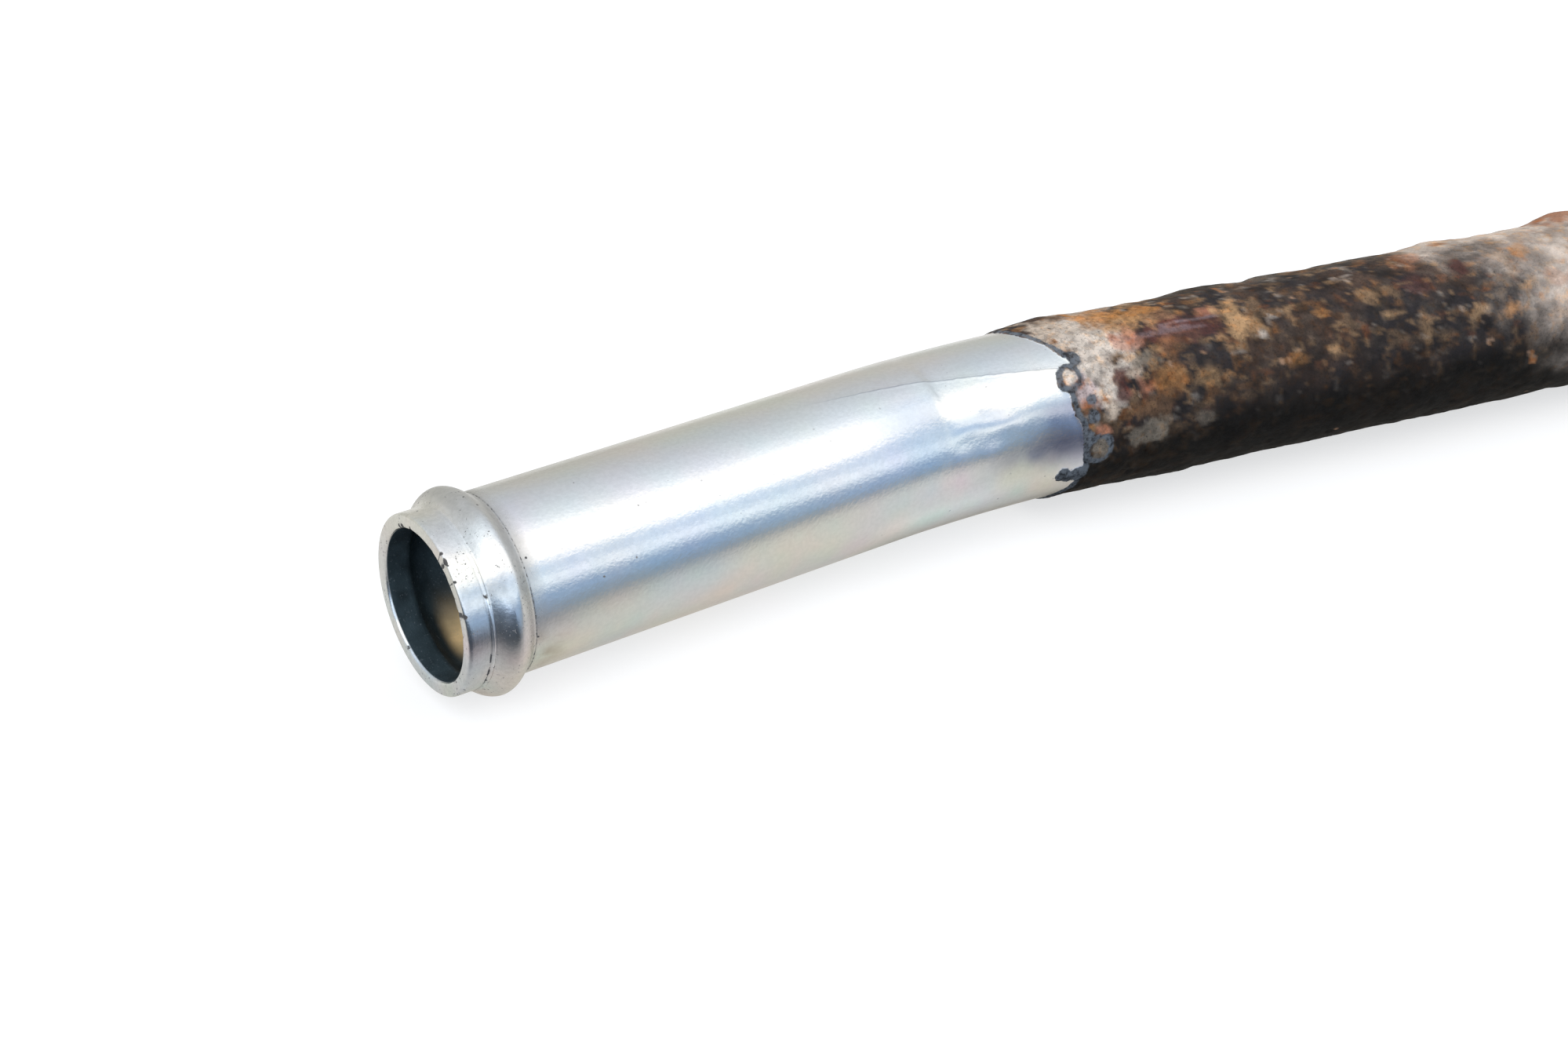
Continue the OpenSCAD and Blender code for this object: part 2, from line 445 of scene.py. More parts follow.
def mouth_rows(q):
    """Rings over the mouth from the bore to the outside: a quarter round with the nicks in it, a flat face
    that wavers a little, and a second quarter round."""
    rows = []
    nick = nick_depth(q)
    for a in np.radians([20, 50, 80]):
        s = INNER_EDGE * (1 - np.sin(a)) + 0.8 * nick * np.sin(a)
        rows.append((s, BORE_R + INNER_EDGE * (1 - np.cos(a)) + nick * np.sin(a), MOUTH))
    rim_inner, rim_outer = BORE_R + INNER_EDGE, NOSE_R - MOUTH_EDGE
    for share in (0.25, 0.5, 0.75):
        r = rim_inner + (rim_outer - rim_inner) * share
        waver = MOUTH_WAVER * (1 + clouds(straight_point(0 * q, q, r), 0.8, 62))
        rows.append((waver, r + nick * (1 - share) ** 2, MOUTH))
    for a in np.radians([90, 68, 45, 22]):
        r = NOSE_R - MOUTH_EDGE * (1 - np.cos(a))
        rows.append((MOUTH_EDGE * (1 - np.sin(a)) + 0 * q, r + 0 * q, MOUTH))
    return rows


def pipe_rows():
    """The closed half section turned about the centreline: station, angle, radius and part of each point."""
    q = np.arange(SIDES) * 360.0 / SIDES
    rows = [(s + 0 * q, outside_radius(s + 0 * q, q), OUTSIDE) for s in stations(OUTSIDE_STRETCHES)]
    rows += cut_rows(q, rows[-1][1], inside_radius(LENGTH + 0 * q, q))
    rows += [(s + 0 * q, inside_radius(s + 0 * q, q), BORE) for s in stations(BORE_STRETCHES)[::-1]]
    rows += mouth_rows(q)
    s, r = (np.array([row[n] for row in rows]) for n in (0, 1))
    part = np.array([np.full(SIDES, row[2]) for row in rows])
    return s, np.broadcast_to(q, s.shape), r, part


def grid_faces(rows, columns):
    """Quads of a grid that closes on itself both ways, wound so that the outside faces out."""
    here = np.arange(rows * columns).reshape(rows, columns)
    right, down = np.roll(here, -1, 1), np.roll(here, -1, 0)
    return np.stack([here, right, np.roll(right, -1, 0), down], -1).reshape(-1, 4)


def mesh_object(name, points, faces):
    """A mesh object at the origin, smooth, from arrays of points in millimetres and of quads."""
    mesh = bpy.data.meshes.new(name)
    mesh.vertices.add(len(points))
    mesh.vertices.foreach_set("co", (points * MM).astype(np.float32).ravel())
    mesh.loops.add(faces.size)
    mesh.loops.foreach_set("vertex_index", faces.ravel().astype(np.int32))
    mesh.polygons.add(len(faces))
    mesh.polygons.foreach_set("loop_start", np.arange(0, faces.size, faces.shape[1], dtype=np.int32))
    mesh.update(calc_edges=True)
    mesh.shade_smooth()
    piece = bpy.data.objects.new(name, mesh)
    bpy.context.scene.collection.objects.link(piece)
    return piece


def paint_numbers(piece, name, values):
    """Stores one number per point, for the materials to read."""
    layer = piece.data.attributes.new(name, "FLOAT", "POINT")
    layer.data.foreach_set("value", values.ravel().astype(np.float32))


def paint_colour(piece, name, rgb):
    """Stores one linear colour per point, for the materials to read."""
    layer = piece.data.attributes.new(name, "FLOAT_COLOR", "POINT")
    rgba = np.concatenate([rgb.reshape(-1, 3), np.ones((rgb.size // 3, 1))], 1)
    layer.data.foreach_set("color", rgba.astype(np.float32).ravel())


# ---- colours of the scale

CHARCOAL = linear(48, 44, 45)
# Near black of the black freckles, and also the painted shade of the scale's front and underside
SOOT_AND_SHADE = linear(16, 15, 14)
TAUPE = linear(98, 88, 78)
CREAM = linear(206, 192, 178)
DUST = linear(196, 180, 166)
OCHRE = linear(178, 124, 72)
TAN = linear(184, 146, 106)
SALMON = linear(184, 126, 100)
MAROON = linear(84, 52, 48)
LILAC = linear(150, 134, 138)
BROWN = linear(98, 74, 56)
ORANGE = linear(146, 88, 52)
SLATE = linear(100, 105, 111)
INK = linear(42, 45, 49)
GREY = linear(122, 112, 100)
RUST = linear(138, 84, 50)
SAND = linear(180, 162, 144)
PINK = linear(188, 168, 164)

# Patches on the scale: station, angle, half length, half height, colour, strength
PATCHES = [
    (88, 68, 6, 3, SAND, 0.8), (84, 97, 5.5, 4.4, CREAM, 0.75), (83, 76, 2.4, 1.3, BROWN, 0.9),
    (81, 86, 2.5, 2.2, SAND, 0.7), (90, 88, 4.6, 2.8, OCHRE, 0.85), (86.5, 103, 3.5, 1.6, GREY, 0.4),
    (84.6, 128, 2.8, 3.8, CREAM, 0.85), (88.5, 120, 2.4, 2, CREAM, 0.65), (82.3, 134, 1.3, 2.2, CREAM, 0.9),
    (80.2, 133, 0.9, 0.9, CREAM, 1), (82, 146, 1.6, 2.4, PINK, 0.85), (85.3, 145, 1.8, 2.6, CREAM, 0.85),
    (81.4, 139, 0.8, 0.6, ORANGE, 0.8), (81.7, 153, 1.1, 0.7, ORANGE, 0.8), (88.5, 135, 2.2, 1.8, SAND, 0.7),
    (84.9, 164, 1.3, 1.2, SAND, 0.85), (83.2, 171, 1.6, 0.6, SALMON, 0.7), (87.5, 131, 0.9, 0.9, CREAM, 0.9),
    (96.5, 113, 6.8, 2.2, MAROON, 0.9), (94, 114.5, 5, 0.4, LILAC, 0.35), (99.5, 109, 3.5, 0.3, LILAC, 0.45),
    (90.6, 101, 2.4, 1.6, TAN, 0.5), (96.5, 100, 2, 0.9, TAN, 0.25), (89.6, 118, 2.2, 1.5, SALMON, 0.55),
    (100.8, 104, 1.8, 0.7, SALMON, 0.5), (96, 122, 2.2, 0.8, SALMON, 0.2), (91, 131, 1.8, 1.4, GREY, 0.75),
    (86.8, 145, 1.2, 1.7, MAROON, 0.9), (89.5, 149, 1.8, 1.4, SALMON, 0.5), (93, 147, 3.2, 1.7, OCHRE, 0.4),
    (97.8, 151, 2.6, 1.1, TAN, 0.35), (94, 128, 2, 1.2, OCHRE, 0.3), (91, 160, 3.4, 1.5, BROWN, 0.7),
    (97, 133, 3, 2, CHARCOAL, 0.5), (104, 113, 1.8, 2.5, TAN, 0.85), (105.6, 122, 1.5, 1.1, TAN, 0.45),
    (106.5, 130, 0.6, 0.6, CREAM, 0.6), (90.4, 180, 2.6, 1.2, GREY, 0.85), (82.9, 185, 1.2, 1.2, GREY, 0.95),
    (96.5, 176, 1.6, 0.9, GREY, 0.35), (130.5, 88, 1.8, 2, ORANGE, 0.45), (129.5, 116, 2.2, 1.4, MAROON, 0.5),
    (115.4, 124, 0.9, 0.8, OCHRE, 0.45), (122.3, 117, 1.3, 1.2, TAN, 0.4), (125, 134, 1.2, 0.8, TAN, 0.35),
    (115.3, 149, 1.1, 0.7, TAN, 0.45), (110.5, 152, 1.4, 0.7, OCHRE, 0.25), (136.5, 143, 1.2, 0.9, TAN, 0.4),
    (128.5, 150, 0.7, 2.2, TAN, 0.25), (141.5, 148, 1.4, 1.1, OCHRE, 0.5),
    (136.5, 109, 1.5, 1.5, MAROON, 0.8), (145.5, 104, 1.7, 1.4, OCHRE, 0.5),
    (158, 62, 4, 3.5, RUST, 0.8), (149, 130, 1.4, 1, ORANGE, 0.3),
]
# Freckles on the scale: size, seed, level of the clouds above which they show, colour, strength
FRECKLES = [
    (2.2, 81, 0.27, TAN, 0.3), (1.6, 85, 0.29, OCHRE, 0.32), (1.3, 89, 0.32, ORANGE, 0.36),
    (1.1, 93, 0.36, CREAM, 0.36), (2.2, 97, 0.18, SOOT_AND_SHADE, 0.65), (1, 121, 0.26, TAN, 0.45),
]
# Where the pale dust starts on the far top, and how much later it starts lower down: from a turn away, to a
# turn away, by a length
DUST_START = 134.5
DUST_DELAYS = [(8, 38, 4.5), (44, 66, 5.5), (85, 125, 8), (125, 155, 8)]


def patch_weight(s, q, station, angle, length, height):
    """1 in the middle of an oval and falling evenly to 0 at twice its size."""
    return np.clip(1 - np.hypot((s - station) / length, round_distance(q, angle) / height) / 2, 0, 1)


def towards(colour, tint, share):
    """The colour, carried that share of the way to another."""
    return colour + (tint - colour) * share[..., None]


def dust_share(s, q, frayed_q, waver):
    """Share of pale dust on the scale: from a line that lies the further along the lower it is, all over the
    upper side, and broken up by long clouds in the second half."""
    down = turn_between(q, FAR_TOP)
    start = DUST_START + sum(by * smooth(low, high, down) for low, high, by in DUST_DELAYS)
    share = smooth(-9, 9, s - start + waver) * smooth(145, 108, turn_between(frayed_q, 100))
    broken = smooth(160, 180, s) * blotches(drawn(straight_point(s, q), 0.6), 11.0, 107, -0.15, 0.2)
    return share * (1 - 0.9 * broken)


def far_scale(colour, p, share):
    """The scale beyond the dust's start: long fields of rust, with charcoal and brown clouds over them."""
    colour = towards(colour, RUST, 0.8 * share * blotches(drawn(p, 0.6), 13.0, 101, -0.2, 0.25))
    colour = towards(colour, CHARCOAL, 0.75 * share * blotches(drawn(p, 0.7), 7.0, 103, 0.1, 0.45, 5))
    return towards(colour, BROWN, 0.6 * share * blotches(p, 3.6, 105, 0.0, 0.5))


def scale_colour(s, q):
    """Colour of the rust scale and its share of dust: charcoal above and painted shade below, down to near
    black on the underside, browned in clouds, with a taupe crown, dust halfway along, rust and dust by turns
    from there to the cut, freckles that thin out along the run, and the patches. Every border is frayed by
    clouds, and the pits get painted shade and the lumps painted light."""
    p = straight_point(s, q)
    fray = broken_clouds(p, 2.4, 79, 4)
    coarse = broken_clouds(p, 7.0, 75)
    fine = broken_clouds(p, 1.2, 131)
    frayed_q = q + 9 * coarse + 5 * fray
    # Painted shade: the front and the underside, where less light falls, are darkened, and browns, taupe and
    # freckles fade there
    shade = smooth(112, 160, frayed_q - 0.9 * np.clip(98 - s, 0, 16)) * smooth(340, 305, q)
    under = smooth(150, 188, frayed_q - 0.6 * np.clip(105 - s, 0, 25)) * smooth(335, 300, q)
    upper = (1 - 0.45 * shade) * (1 - 0.9 * under)
    colour = towards(CHARCOAL + 0 * p, SOOT_AND_SHADE, np.maximum(0.35 * shade, under))
    colour = towards(colour, BROWN, 0.44 * blotches(p, 4.0, 76, -0.2, 0.5) * upper)
    colour = towards(colour, TAUPE, 0.3 * smooth(0.0, 0.5, fine + 0.5 * fray) * upper)
    crown = smooth(88, 66, frayed_q) * smooth(20, 45, q) * smooth(94, 104, s)
    colour = towards(colour, TAUPE, 0.8 * crown)

    dusty = dust_share(s, q, frayed_q, 6 * coarse + 5 * fray)
    colour = towards(colour, DUST, dusty * (0.72 + 0.28 * smooth(-0.5, 0.3, fray)))
    colour = towards(colour, BROWN, 0.4 * dusty * blotches(p, 3.2, 133, 0.1, 0.6))
    colour = far_scale(colour, p, smooth(156, 176, s + 6 * coarse) * (1 - 0.6 * under))

    near = smooth(112, 90, s)
    for size, seed, level, tint, strength in FRECKLES:
        black = tint is SOOT_AND_SHADE
        spots = broken_clouds(drawn(p, 0.8), size, seed, 4) + 0.1 * near * (not black)
        share = strength * smooth(level, level + 0.22, spots) * (0.75 + 0.25 * near) * upper
        colour = towards(colour, tint, share * (1 - 0.7 * dusty * black))
    for *place, tint, strength in PATCHES:
        ragged = patch_weight(s, q, *place) + 0.42 * (fray + fine)
        colour = towards(colour, tint, strength * smooth(0.36, 0.66, ragged))
    # Painted shade in the scale's pits and painted light on its lumps, by their height
    colour = colour * np.clip(1 + 2.4 * scale_grain(s, q), 0.45, 1.45)[..., None]
    return np.clip(colour, DARKEST, 1), dusty


# ---- colours of the zinc, the bore and the cut end

ZINC = np.array([0.64, 0.635, 0.62])
# Tints of the clouds in the plating
STRAW, GREEN = np.array([0.13, 0.05, -0.16]), np.array([-0.13, 0.05, 0.02])
# What soils or burns the zinc towards a darker colour, and painted shade: with the grime, on the
# far side of the first straight, in the lines at the bead's feet, and under the bend
GRIME_AND_SHADE, FAR_SIDE_SHADE, MUDDY = ZINC * [0.57, 0.555, 0.52], ZINC * [0.45, 0.43, 0.39], ZINC * [0.62, 0.52, 0.42]
LINE_DIRT_AND_SHADE, VIOLET, UNDER_BEND_SHADE = ZINC * 0.35, ZINC * [0.39, 0.43, 0.54], ZINC * 0.33
# What the zinc loses of its red, green and blue: near its edge, and as painted shade before the die's step
# and in the dents
BURNT_LOSS, DIE_SHADE_LOSS, DENT_SHADE_LOSS = (0.42, 0.44, 0.37), (0.28, 0.21, 0.11), (0.26, 0.19, 0.08)
# The bore's slate, and the colour of a painted golden glint of light in it
SLATE_WALL, GOLDEN_GLINT = linear(54, 66, 71), linear(238, 204, 148)
BORE_RUST, CRUST = linear(96, 62, 40), linear(52, 42, 38)
STEEL, PALE_STEEL = linear(112, 74, 50), linear(168, 122, 84)
# Nothing is painted darker than this
DARKEST = 0.004


def dirt_and_shade_film(s, q):
    """Share of thin dull dirt on the zinc, and of painted shade with it: over the bead's crest on top, on its
    rear flank and the start of the tube, less so in front, and thinly on the nose."""
    down = turn_between(q, FAR_TOP)
    crest = window(s, 2.6, 4.4, 5.6, 6.3) * smooth(60, 40, down)
    rear = window(s, 5.6, 6.3, 7.8, 9.4) * (0.8 - 0.4 * smooth(88, 104, down) + 0.2 * smooth(30, 14, down))
    rear = rear * (1 - 0.7 * smooth(118, 136, down))
    nose = 0.05 * smooth(4.9, 4.3, s)
    return np.clip((crest + rear + nose) * (1 + 0.4 * broken_clouds(straight_point(s, q), 1.5, 115)), 0, 1)


def clean_zinc(s, q):
    """Colour of clean plating: grey zinc with straw and green clouds, fainter on top, and long grey ones."""
    p = straight_point(s, q)
    lower = (0.4 + 0.6 * smooth(105, 125, turn_between(q, FAR_TOP)))[..., None]
    tint = broken_clouds(p, 9.0, 111)[..., None] * STRAW + broken_clouds(p, 4.5, 113)[..., None] * GREEN
    cloudy = 0.05 * broken_clouds(drawn(p, 0.3), 3.0, 117)[..., None]
    return ZINC * (1 + lower * tint + cloudy)


def soiled_and_shaded_zinc(colour, s, q):
    """The plating with its dirt and painted shade: the film of dirt and shade, painted shade on the far side
    of the first straight, mud under the tube's start, and dark lines of dirt and shade before the ridge and
    at the bead's rear foot."""
    colour = towards(colour, GRIME_AND_SHADE, 0.8 * dirt_and_shade_film(s, q))
    # Painted shade: the far, upper side of the first straight is darkened
    painted_far_side_shade = window(s, 7.4, 8.2, 14, 44) * angle_bell(q, 58, 17)
    colour = towards(colour, FAR_SIDE_SHADE, 0.6 * painted_far_side_shade)
    mud = window(s, 7.4, 8.0, 8.6, 13) * angle_bell(q, 212, 24)
    colour = towards(colour, MUDDY, 0.8 * mud * blotches(straight_point(s, q), 1.4, 119, -0.3, 0.5))
    # Dark lines of dirt and painted shade in the creases before the ridge and at the bead's rear foot
    lines = 0.3 * bell(s, FRONT_FOOT - 0.42, 0.1) * window(q, 110, 150, 215, 250)
    return towards(colour, LINE_DIRT_AND_SHADE, lines + 0.45 * bell(s, REAR_FOOT + 0.05, 0.12))


def worked_zinc_with_painted_light(colour, s, q):
    """The plating as heat and tools have left it, with painted light and shade: violet low on the bend's
    front, burnt along the zinc's edge, painted shade before the die's step and in the dents behind it,
    painted light under them, on the ridge and in a stripe of the bead's front flank with painted shade just
    above it, and painted shade under the bend."""
    p = straight_point(s, q)
    violet = smooth(62, 75, s) * angle_bell(q, 176, 10) * (1 + 0.25 * clouds(p, 2.0, 118))
    colour = towards(colour, VIOLET, np.clip(violet, 0, 1))
    burnt = smooth(71, 78.5, s) * window(q, 143, 152, 182, 200) * (1 + 0.2 * clouds(p, 1.6, 122))
    # Painted shade before the die's step and in the dents
    die = window(s, 49, 58.5, 61.2, 62.3) * window(q, 116, 126, 158, 168) * (1 - 0.5 * smooth(134, 142, q))
    dents = window(s, 61.6, 63, 69, 73) * window(q, 138, 144, 149, 154)
    for share, loss in ((np.clip(burnt, 0, 1), BURNT_LOSS), (die, DIE_SHADE_LOSS), (dents, DENT_SHADE_LOSS)):
        colour = colour * (1 - share[..., None] * loss)
    # Painted light under the dents, in a stripe of the bead's front flank with painted shade just above it,
    # and on the ridge
    flank = window(s, 2.9, 3.2, 4.4, 4.9)
    bright = 0.18 * window(s, 48, 57, 65, 73) * angle_bell(q, 203, 9)
    bright = bright + flank * (0.34 * angle_bell(q, 165, 7) - 0.26 * angle_bell(q, 150, 6))
    bright = bright + 0.42 * window(s, 2.55, 2.68, 2.92, 3.02) * window(q, 151, 156, 186, 208)
    colour = colour * (1 + bright[..., None])
    # Painted shade under the bend
    return towards(colour, UNDER_BEND_SHADE, 0.9 * smooth(46, 58, s) * angle_bell(q, 230, 9))


def zinc_colour(s, q):
    """Colour of the plating: clean zinc, then soiled, then worked."""
    return worked_zinc_with_painted_light(soiled_and_shaded_zinc(clean_zinc(s, q), s, q), s, q)


def bore_colour(s, q):
    """Colour of the bore: slate, a painted golden glint of light on the far flank of the bead's groove, brown
    further in.
    """
    p = straight_point(s, q, BORE_R)
    glint = angle_bell(q, 300, 17) * window(s, 4.4, 6.2, 7.5, 11) * (1 + 0.5 * broken_clouds(p, 1.6, 94))
    slate = SLATE_WALL * (1 + 0.6 * broken_clouds(p, 1.5, 93, 4)[..., None])
    rusty = BORE_RUST * (1 + 0.45 * clouds(p, 2.0, 92)[..., None])
    brown = smooth(30, 90, s + 6 * clouds(p, 5.0, 91))
    return np.clip(towards(towards(slate, GOLDEN_GLINT, np.clip(glint, 0, 1)), rusty, brown), DARKEST, 1)


def cut_colour(s, q, r):
    """Colour of the cut end: brown rusted steel between dark scale outside and a dark crust inside."""
    p = cut_point(s, q, r)
    steel = towards(STEEL + 0 * p, PALE_STEEL, blotches(p, 1.6, 95, -0.4, 0.4))
    crust = np.maximum(smooth(TUBE_R - 0.25, TUBE_R + 0.05, r), smooth(CUT_BORE_R + 0.3, CUT_BORE_R, r))
    return towards(steel, CRUST, 0.9 * crust)


# ---- node helpers

class Nodes:
    """A material's or world's node tree, with short calls for the nodes used here."""

    def __init__(self, tree):
        self.tree = tree
        tree.nodes.clear()

    def add(self, kind, inputs=None, **settings):
        node = self.tree.nodes.new("ShaderNode" + kind)
        for key, value in settings.items():
            setattr(node, key, value)
        for key, value in (inputs or {}).items():
            self.join(value, node.inputs[key])
        return node

    def join(self, value, socket):
        if isinstance(value, bpy.types.NodeSocket):
            self.tree.links.new(value, socket)
        else:
            socket.default_value = value

    def attribute(self, name, output="Fac"):
        return self.add("Attribute", attribute_name=name).outputs[output]

    def math(self, operation, a, b=0.0, c=0.0):
        return self.add("Math", {0: a, 1: b, 2: c}, operation=operation).outputs[0]

    def times(self, a, b, plus=None):
        """a times b, and plus that if it is given."""
        if plus is None:
            return self.math("MULTIPLY", a, b)
        return self.math("MULTIPLY_ADD", a, b, plus)

    def span(self, value, low, high, to_low=0.0, to_high=1.0):
        """Carries low..high to to_low..to_high, smoothly and without overshoot."""
        node = self.add("MapRange", {0: value, 1: low, 2: high, 3: to_low, 4: to_high},
                        interpolation_type="SMOOTHSTEP")
        return node.outputs[0]

    def blend(self, share, a, b, blend_type="MIX"):
        node = self.add("Mix", data_type="RGBA", blend_type=blend_type)
        for value, socket in ((share, node.inputs[0]), (a, node.inputs[6]), (b, node.inputs[7])):
            self.join(value, socket)
        return node.outputs[2]

    def noise(self, where, size, detail=2.0, roughness=0.5):
        """Noise with lumps of that many millimetres."""
        inputs = {"Vector": where, "Scale": 1 / (size * MM), "Detail": detail, "Roughness": roughness}
        return self.add("TexNoise", inputs).outputs["Fac"]

    def grains(self, where, size, output="Distance"):
        """Grains of that many millimetres: the distance to the nearest one, or its own colour."""
        node = self.add("TexVoronoi", {"Vector": where, "Scale": 1 / (size * MM)})
        return node.outputs[output]


def rgba(colour):
    return (*[float(c) for c in colour], 1.0)


def set_stops(ramp, stops):
    """Fills a colour ramp with positions from 0 to 1 and their colours."""
    elements = ramp.color_ramp.elements
    while len(elements) < len(stops):
        elements.new(0.5)
    for element, (position, colour) in zip(elements, stops):
        element.position = position
        element.color = rgba(colour)


# ---- the pipe's material

ZINC_ROUGHNESS = 0.18
SPECK_TINT, GLINT_TINT, CREASE_TINT = (0.045, 0.040, 0.038), (0.28, 0.31, 0.33), (0.2, 0.21, 0.23)
# Painted shade of the scale's pores and crevices, in the hollows of its grit
PORE_SHADE_TINT, CREVICE_SHADE_TINT = (0.014, 0.013, 0.012), (0.010, 0.009, 0.008)
# A warmer tint, and painted light on the tops of the scale's grit
WARMER, TOP_LIGHT_TINT = (1.2, 1.0, 0.82), (1.6, 1.55, 1.5)


def zinc_dirt(n, place, worn):
    """Share of black dirt on the zinc: round specks under some grains, grime in crowds on the hose end, and
    the painted stains with torn borders."""
    chosen = n.span(n.grains(place, 1.5, "Color"), 0.6, 0.62)
    ragged = n.times(n.noise(place, 0.12), 0.12, -0.06)
    speck = n.span(n.math("ADD", n.grains(place, 1.5), ragged), 0.1, 0.06)
    speck = n.times(speck, n.times(chosen, n.attribute("speckled")))
    crowd = n.times(n.span(n.noise(place, 2.2), 0.44, 0.64), 0.1)
    flecks = n.span(n.math("ADD", n.noise(place, 0.3, 2.0, 0.6), crowd), 0.7, 0.76)
    grime = n.times(flecks, n.times(worn, 0.7))
    torn = n.times(n.noise(place, 0.35, 4.0, 0.7), 1.2, -0.6)
    stained = n.span(n.math("ADD", n.attribute("stain"), torn), 0.48, 0.66)
    return n.math("MAXIMUM", n.math("MAXIMUM", speck, grime), stained)


def metal_finish(n, place, worn, bare, dirt, crease, creased):
    """Colour of the zinc and of the bare steel: the painted colour with dirt, a mottle, glints in the bore,
    and a dark line along the crease."""
    tint = n.blend(n.times(dirt, 0.92), n.attribute("metal_colour", "Color"), rgba(SPECK_TINT))
    mottle = n.span(n.noise(place, 0.5, 4.0, 0.7), 0.36, 0.64, 0.86, 1.08)
    share = n.times(worn, 0.25, 0.25)
    mottle = n.times(n.math("SUBTRACT", mottle, 1.0), share, 1.0)
    grey = n.add("CombineColor", {0: mottle, 1: mottle, 2: mottle}).outputs[0]
    tint = n.blend(1.0, tint, grey, "MULTIPLY")
    glint = n.times(n.span(n.noise(place, 0.26, 3.0, 0.6), 0.6, 0.74), bare)
    tint = n.blend(n.times(glint, 0.45), tint, rgba(GLINT_TINT))
    line = n.times(n.span(crease, 0.13, 0.03, 0.0, 0.45), creased)
    return n.blend(line, tint, rgba(CREASE_TINT))


def scale_finish(n, rim, grit, fine, place):
    """Colour of the scale: the painted colour, broken up by pores, warmer fields, paler tops and crevices,
    with the slate and ink of the rim. The dark pores and crevices are painted shade in the hollows of the
    grit, and the paler tops are painted light on it. Pores and crevices are fainter in the dust."""
    painted = n.attribute("scale_colour", "Color")
    calm = n.times(n.attribute("dusty"), -0.6, 1.0)
    pores = n.times(n.span(grit, 0.58, 0.38, 0.0, 0.6), calm)
    tint = n.blend(pores, painted, n.blend(0.6, painted, rgba(PORE_SHADE_TINT)))
    warm = n.blend(1.0, tint, rgba(WARMER), "MULTIPLY")
    tint = n.blend(n.span(n.noise(place, 1.3, 3.0, 0.6), 0.5, 0.7), tint, warm)
    pale = n.blend(1.0, tint, rgba(TOP_LIGHT_TINT), "MULTIPLY")
    tint = n.blend(n.span(fine, 0.56, 0.72, 0.0, 0.4), tint, pale)
    crevices = n.times(n.span(fine, 0.44, 0.32, 0.0, 0.5), calm)
    tint = n.blend(crevices, tint, rgba(CREVICE_SHADE_TINT))
    rim_tint = n.blend(n.span(grit, 0.4, 0.65), rgba(SLATE), rgba(INK))
    return n.blend(n.times(rim, 0.92), tint, rim_tint)


def fine_relief(n, place, worn, grit, fine, gritty, crease, creased):
    """The finest relief: grain in the zinc, turning marks on the hose end, the crease's crest, and grit."""
    along = n.add("Mapping", {0: place, 3: (9.0, 1.0, 1.0)}).outputs[0]
    marks = n.times(n.times(n.noise(along, 1.6, 3.0, 0.6), worn), 0.009)
    grain = n.times(worn, -0.010, 0.022)
    grain = n.times(n.noise(place, 0.42, 3.0, 0.6), grain)
    grain = n.math("ADD", grain, n.times(n.span(crease, 0.5, 0.0, 0.0, 0.02), creased))
    scale_grit = n.times(fine, 0.05, n.times(grit, 0.12))
    scale_grit = n.times(scale_grit, gritty)
    heights = n.math("ADD", n.math("ADD", scale_grit, marks), grain)
    return n.add("Bump", {"Height": heights, "Distance": MM, "Strength": 1.0}).outputs[0]


def pipe_material():
    """Zinc, rust scale and bare bore in one finish, told apart by the numbers painted on the skin."""
    material = bpy.data.materials.new("zinc_and_rust_scale")
    material.use_nodes = True
    n = Nodes(material.node_tree)
    place = n.add("TexCoord").outputs["Object"]
    bare, worn, film = (n.attribute(name) for name in ("bare", "worn", "film"))

    fray = n.times(n.noise(place, 0.5, 3.0), 0.6, -0.3)
    scaled = n.span(n.math("ADD", n.attribute("edge"), fray), -0.08, 0.1)
    rim = n.span(n.math("ADD", n.attribute("rim"), fray), 0.62, 0.26)
    waver = n.times(n.noise(place, 0.9), 0.3, -0.15)
    crease = n.math("ABSOLUTE", n.math("ADD", n.attribute("fold"), waver))
    creased = n.attribute("folded")
    grit = n.noise(place, 0.8, 5.0, 0.7)
    fine = n.noise(place, 0.3, 4.0, 0.65)

    dirt = zinc_dirt(n, place, worn)
    metal_tint = metal_finish(n, place, worn, bare, dirt, crease, creased)
    colour = n.blend(scaled, metal_tint, scale_finish(n, rim, grit, fine, place))
    gloss = n.noise(place, 1.6, 4.0, 0.65)
    gloss = n.span(gloss, 0.3, 0.75, ZINC_ROUGHNESS - 0.03, ZINC_ROUGHNESS + 0.06)
    for share, duller in ((worn, 0.03), (film, 0.14), (bare, 0.3), (dirt, 0.25), (scaled, 0.5)):
        gloss = n.times(share, duller, gloss)
    dull = n.math("MAXIMUM", n.math("MAXIMUM", scaled, bare), dirt)
    metal = n.math("SUBTRACT", 1.0, n.math("MAXIMUM", dull, n.times(film, 0.35)))
    gritty = n.math("MAXIMUM", scaled, n.times(bare, 0.4))

    surface = n.add("BsdfPrincipled", {
        "Base Color": colour, "Metallic": metal, "Roughness": gloss,
        "Normal": fine_relief(n, place, worn, grit, fine, gritty, crease, creased),
        "Specular IOR Level": 0.06, "Specular Tint": (0.9, 0.9, 0.89, 1),
    })
    n.add("OutputMaterial", {"Surface": surface.outputs[0]})
    return material


# ---- the pipe

